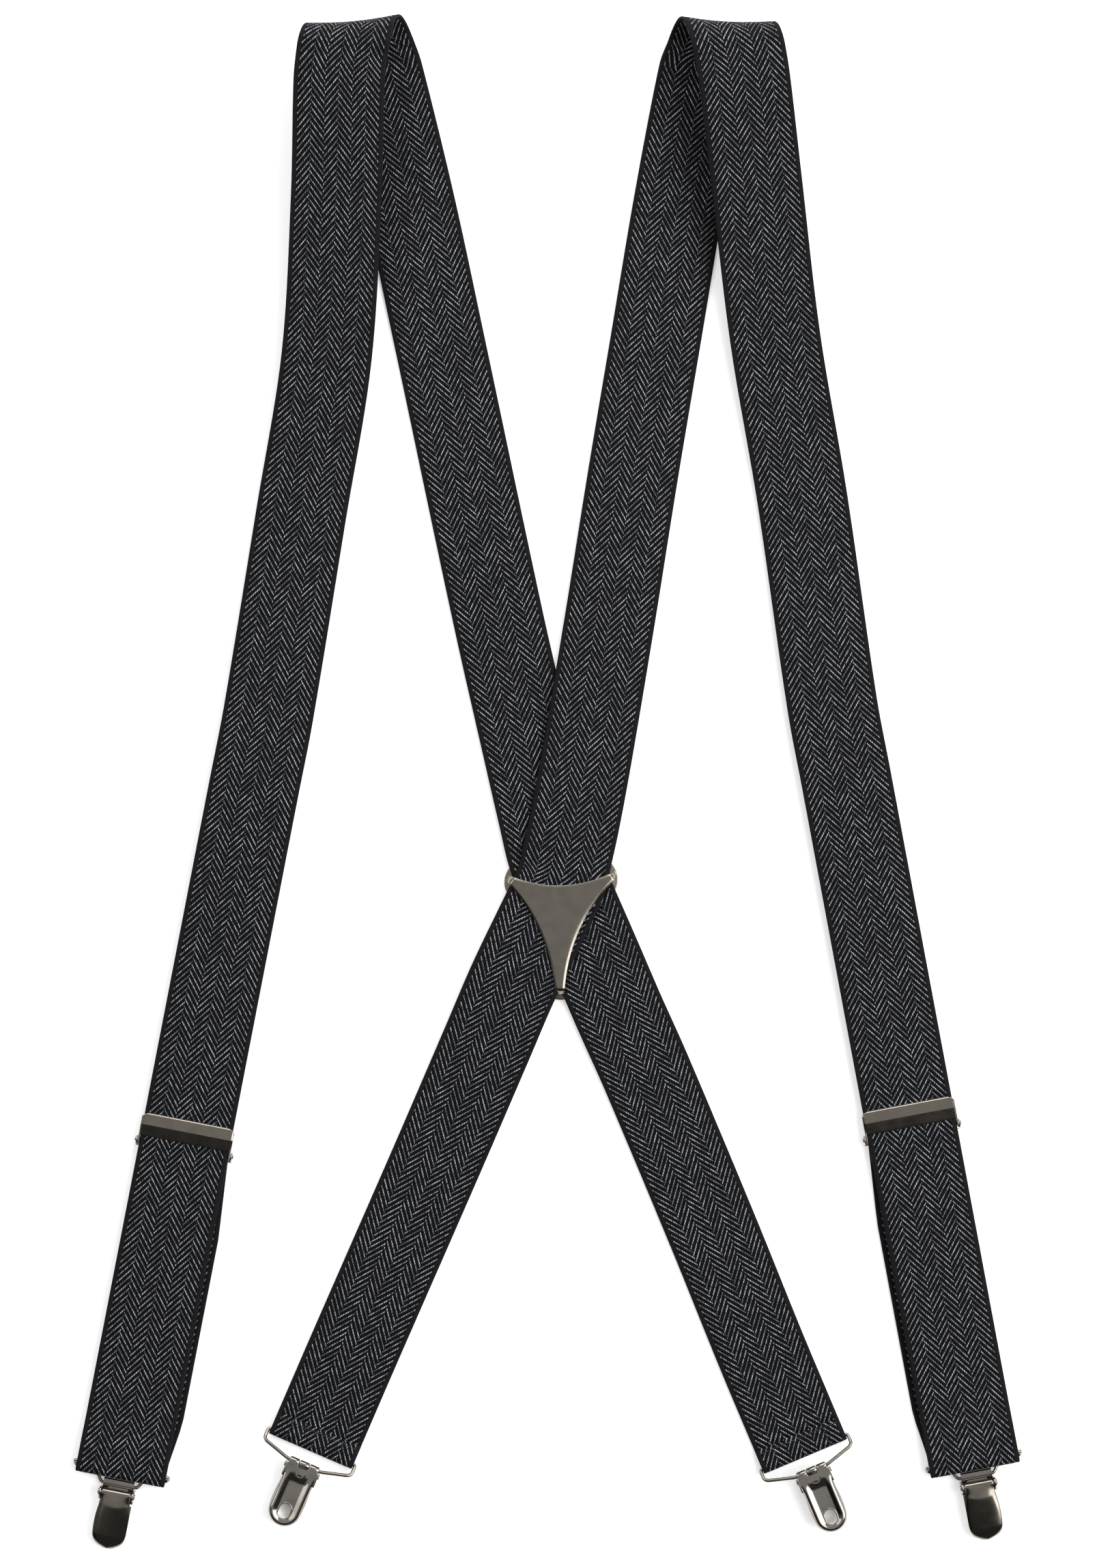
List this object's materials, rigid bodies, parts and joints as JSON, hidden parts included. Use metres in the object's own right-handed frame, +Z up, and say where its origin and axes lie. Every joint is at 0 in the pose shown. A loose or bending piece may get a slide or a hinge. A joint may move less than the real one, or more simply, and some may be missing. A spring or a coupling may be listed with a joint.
{
  "type": "suspenders",
  "caption": "X-back elastic suspenders in herringbone webbing with metal lever clips, flip-cover adjusters and a cross patch.",
  "frame": {"origin": "middle of the box in plan, on the surface the suspenders lie on", "axes": "+Y from the clips towards the shoulder loops, +X to the right, +Z up from the table to the inner side of the back straps"},
  "size_m": [0.3683, 0.593, 0.0236],
  "materials": {
    "webbing": "herringbone elastic webbing",
    "thread": "polyester sewing thread",
    "gunmetal": "polished black nickel",
    "nickel": "polished dark nickel",
    "grip": "moulded"
  },
  "bodies": {
    "straps": {"left_front": "webbing", "left_shoulder": "webbing", "left_back": "webbing", "left_back_hem": "webbing", "left_back_thread": "thread", "right_front": "webbing", "right_shoulder": "webbing", "right_back": "webbing", "right_back_hem": "webbing", "right_back_thread": "thread", "patch_back_plate": "gunmetal", "patch_front_plate": "gunmetal"},
    "left_loop": {"left_fold": "webbing"},
    "left_adjuster": {"left_adjuster_frame": "nickel", "left_adjuster_rivets": "nickel", "left_end_hem": "webbing", "left_end_thread": "thread", "left_return": "webbing"},
    "left_cover": {"left_adjuster_cover": "gunmetal"},
    "left_front_bail": {"left_front_bail": "gunmetal"},
    "left_front_clip": {"left_front_plate": "nickel", "left_front_pin": "nickel"},
    "left_front_jaw": {"left_front_jaw": "nickel", "left_front_pad": "grip"},
    "left_front_lever": {"left_front_lever": "gunmetal"},
    "left_back_bail": {"left_back_bail": "gunmetal"},
    "left_back_clip": {"left_back_plate": "nickel", "left_back_pin": "nickel"},
    "left_back_jaw": {"left_back_jaw": "nickel", "left_back_pad": "grip"},
    "left_back_lever": {"left_back_lever": "gunmetal"},
    "right_loop": {"right_fold": "webbing"},
    "right_adjuster": {"right_adjuster_frame": "nickel", "right_adjuster_rivets": "nickel", "right_end_hem": "webbing", "right_end_thread": "thread", "right_return": "webbing"},
    "right_cover": {"right_adjuster_cover": "gunmetal"},
    "right_front_bail": {"right_front_bail": "gunmetal"},
    "right_front_clip": {"right_front_plate": "nickel", "right_front_pin": "nickel"},
    "right_front_jaw": {"right_front_jaw": "nickel", "right_front_pad": "grip"},
    "right_front_lever": {"right_front_lever": "gunmetal"},
    "right_back_bail": {"right_back_bail": "gunmetal"},
    "right_back_clip": {"right_back_plate": "nickel", "right_back_pin": "nickel"},
    "right_back_jaw": {"right_back_jaw": "nickel", "right_back_pad": "grip"},
    "right_back_lever": {"right_back_lever": "gunmetal"}
  },
  "joints": [
    {"name": "left_strap_length", "type": "slide", "parent": "straps", "child": "left_loop", "axis": [0.1908, 0.9816, 0], "range_m": [-0.04, 0.05], "deforming": ["left_front"]},
    {"name": "left_adjuster_slide", "type": "slide", "parent": "left_loop", "child": "left_adjuster", "axis": [0.1908, 0.9816, 0], "range_m": [-0.04, 0.05], "deforming": ["left_return"]},
    {"name": "left_cover_flip", "type": "hinge", "parent": "left_adjuster", "child": "left_cover", "pos_m": [-0.14124, -0.14097, 0.003], "axis": [0.9816, -0.1908, 0], "range_deg": [0, 90]},
    {"name": "left_front_bail_swing", "type": "hinge", "parent": "left_loop", "child": "left_front_bail", "pos_m": [-0.1654, -0.26524, 0.00365], "axis": [0.9816, -0.1908, 0], "range_deg": [0, 50]},
    {"name": "left_front_clip_swing", "type": "hinge", "parent": "left_front_bail", "child": "left_front_clip", "pos_m": [-0.16668, -0.27181, 0.0015], "axis": [0.9816, -0.1908, 0], "range_deg": [-25, 35]},
    {"name": "left_front_lever_lift", "type": "hinge", "parent": "left_front_clip", "child": "left_front_lever", "pos_m": [-0.16723, -0.27466, 0.0057], "axis": [-0.9816, 0.1908, 0], "range_deg": [0, 100]},
    {"name": "left_front_jaw_open", "type": "hinge", "parent": "left_front_clip", "child": "left_front_jaw", "pos_m": [-0.16668, -0.27181, 0.0015], "axis": [-0.9816, 0.1908, 0], "range_deg": [0, 12]},
    {"name": "left_back_bail_swing", "type": "hinge", "parent": "straps", "child": "left_back_bail", "pos_m": [0.09904, -0.259, 0.00195], "axis": [0.9219, 0.3875, 0], "range_deg": [-40, 40]},
    {"name": "left_back_clip_swing", "type": "hinge", "parent": "left_back_bail", "child": "left_back_clip", "pos_m": [0.10178, -0.2655, 0.00625], "axis": [0.9219, 0.3875, 0], "range_deg": [-30, 30]},
    {"name": "left_back_lever_lift", "type": "hinge", "parent": "left_back_clip", "child": "left_back_lever", "pos_m": [0.1029, -0.26817, 0.00205], "axis": [0.9219, 0.3875, 0], "range_deg": [0, 100]},
    {"name": "left_back_jaw_open", "type": "hinge", "parent": "left_back_clip", "child": "left_back_jaw", "pos_m": [0.10178, -0.2655, 0.00625], "axis": [0.9219, 0.3875, 0], "range_deg": [0, 12]},
    {"name": "right_strap_length", "type": "slide", "parent": "straps", "child": "right_loop", "axis": [-0.184, 0.9829, 0], "range_m": [-0.04, 0.05], "deforming": ["right_front"]},
    {"name": "right_adjuster_slide", "type": "slide", "parent": "right_loop", "child": "right_adjuster", "axis": [-0.184, 0.9829, 0], "range_m": [-0.04, 0.05], "deforming": ["right_return"]},
    {"name": "right_cover_flip", "type": "hinge", "parent": "right_adjuster", "child": "right_cover", "pos_m": [0.14091, -0.13454, 0.003], "axis": [0.9829, 0.184, 0], "range_deg": [0, 90]},
    {"name": "right_front_bail_swing", "type": "hinge", "parent": "right_loop", "child": "right_front_bail", "pos_m": [0.16471, -0.26174, 0.00365], "axis": [0.9829, 0.184, 0], "range_deg": [0, 50]},
    {"name": "right_front_clip_swing", "type": "hinge", "parent": "right_front_bail", "child": "right_front_clip", "pos_m": [0.16595, -0.26832, 0.0015], "axis": [0.9829, 0.184, 0], "range_deg": [-25, 35]},
    {"name": "right_front_lever_lift", "type": "hinge", "parent": "right_front_clip", "child": "right_front_lever", "pos_m": [0.16648, -0.27117, 0.0057], "axis": [-0.9829, -0.184, 0], "range_deg": [0, 100]},
    {"name": "right_front_jaw_open", "type": "hinge", "parent": "right_front_clip", "child": "right_front_jaw", "pos_m": [0.16595, -0.26832, 0.0015], "axis": [-0.9829, -0.184, 0], "range_deg": [0, 12]},
    {"name": "right_back_bail_swing", "type": "hinge", "parent": "straps", "child": "right_back_bail", "pos_m": [-0.09173, -0.25691, 0.00195], "axis": [0.9178, -0.3971, 0], "range_deg": [-40, 40]},
    {"name": "right_back_clip_swing", "type": "hinge", "parent": "right_back_bail", "child": "right_back_clip", "pos_m": [-0.09452, -0.26338, 0.00625], "axis": [0.9178, -0.3971, 0], "range_deg": [-30, 30]},
    {"name": "right_back_lever_lift", "type": "hinge", "parent": "right_back_clip", "child": "right_back_lever", "pos_m": [-0.09568, -0.26604, 0.00205], "axis": [0.9178, -0.3971, 0], "range_deg": [0, 100]},
    {"name": "right_back_jaw_open", "type": "hinge", "parent": "right_back_clip", "child": "right_back_jaw", "pos_m": [-0.09452, -0.26338, 0.00625], "axis": [0.9178, -0.3971, 0], "range_deg": [0, 12]}
  ],
  "couplings": [
    {"joint": "left_adjuster_slide", "follows": "left_strap_length", "ratio": 1},
    {"joint": "left_front_jaw_open", "follows": "left_front_lever_lift", "ratio": 0.12},
    {"joint": "left_back_jaw_open", "follows": "left_back_lever_lift", "ratio": 0.12},
    {"joint": "right_adjuster_slide", "follows": "right_strap_length", "ratio": 1},
    {"joint": "right_front_jaw_open", "follows": "right_front_lever_lift", "ratio": 0.12},
    {"joint": "right_back_jaw_open", "follows": "right_back_lever_lift", "ratio": 0.12}
  ]
}
